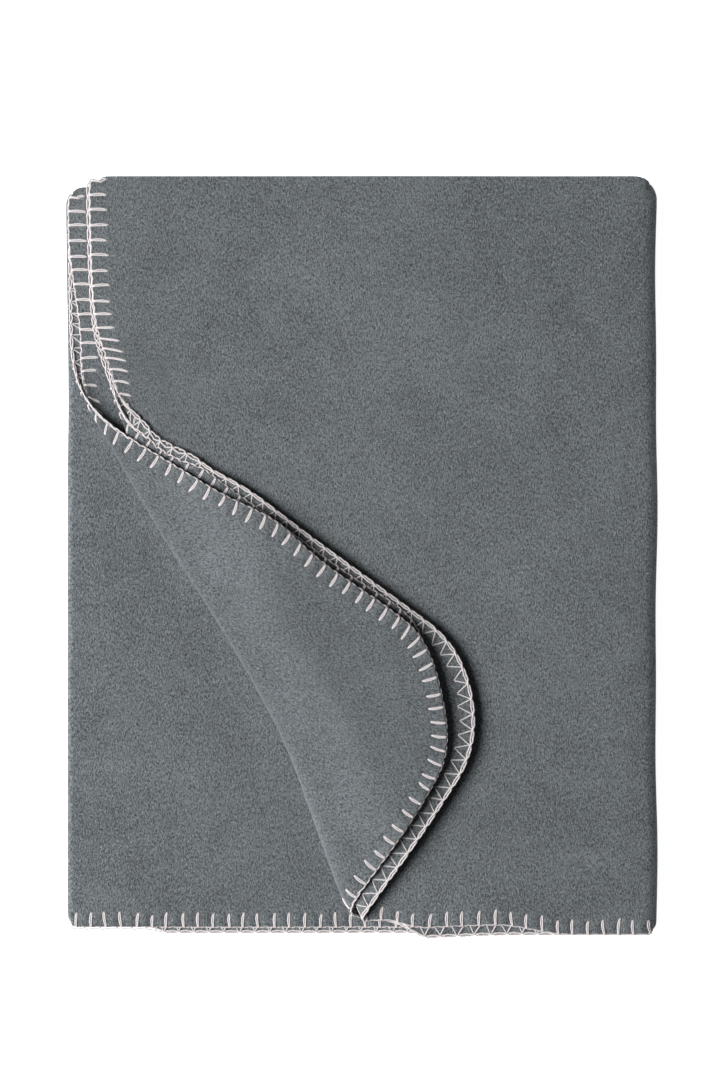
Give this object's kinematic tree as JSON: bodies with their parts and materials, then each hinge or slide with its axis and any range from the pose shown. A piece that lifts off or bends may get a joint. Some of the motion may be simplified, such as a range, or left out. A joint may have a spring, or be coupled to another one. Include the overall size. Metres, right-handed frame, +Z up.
{
  "type": "folded throw blanket",
  "caption": "Fleece throw blanket with a contrast blanket-stitched edge, folded to a flat rectangular pack with one corner turned back.",
  "frame": {"origin": "under the middle of the folded pack, on the surface that it rests on", "axes": "+X towards the side of the last fold, +Y towards the fold over the top, +Z up"},
  "size_m": [0.5098, 0.655, 0.036],
  "materials": {
    "fleece": "brushed matt nap",
    "yarn": "soft two-strand yarn"
  },
  "bodies": {
    "lower_half": {"panel_5": "fleece", "panel_6": "fleece", "panel_7": "fleece", "panel_8": "fleece", "left_fold_5_8": "fleece", "left_fold_6_7": "fleece", "top_fold_5_6": "fleece", "top_fold_7_8": "fleece", "left_corner_roll": "fleece", "right_fold_1_8": "fleece", "right_fold_2_7": "fleece", "right_fold_3_6": "fleece", "right_fold_4_5": "fleece", "outer_corner_roll": "fleece", "inner_corner_roll": "fleece", "bottom_stitching_5": "yarn", "bottom_stitching_6": "yarn", "bottom_stitching_7": "yarn", "bottom_stitching_8": "yarn"},
    "upper_half": {"panel_1": "fleece", "panel_2": "fleece", "panel_3": "fleece", "panel_4": "fleece", "top_fold_1_2": "fleece", "top_fold_3_4": "fleece", "crease_fold_1": "fleece", "crease_fold_2": "fleece", "crease_fold_3": "fleece", "crease_fold_4": "fleece", "left_stitching_1": "yarn", "left_stitching_2": "yarn", "left_stitching_3": "yarn", "left_stitching_4": "yarn", "bottom_stitching_1": "yarn", "bottom_stitching_2": "yarn", "bottom_stitching_3": "yarn", "bottom_stitching_4": "yarn"},
    "corner_flap": {"turned_corner_1": "fleece", "turned_corner_2": "fleece", "turned_corner_3": "fleece", "turned_corner_4": "fleece", "corner_stitching_1": "yarn", "corner_stitching_2": "yarn", "corner_stitching_3": "yarn", "corner_stitching_4": "yarn"}
  },
  "joints": [
    {"name": "last_fold", "type": "hinge", "parent": "lower_half", "child": "upper_half", "pos_m": [0.24332, 0, 0.01155], "axis": [0, 1, 0], "range_deg": [0, 180], "deforming": ["right_fold_1_8", "right_fold_2_7", "right_fold_3_6", "right_fold_4_5", "outer_corner_roll", "inner_corner_roll"]},
    {"name": "corner_fold", "type": "hinge", "parent": "upper_half", "child": "corner_flap", "pos_m": [-0.12303, -0.0668, 0.0241], "axis": [0.4772, -0.8788, 0], "range_deg": [0, 180], "deforming": ["crease_fold_1", "crease_fold_2", "crease_fold_3", "crease_fold_4"]}
  ]
}
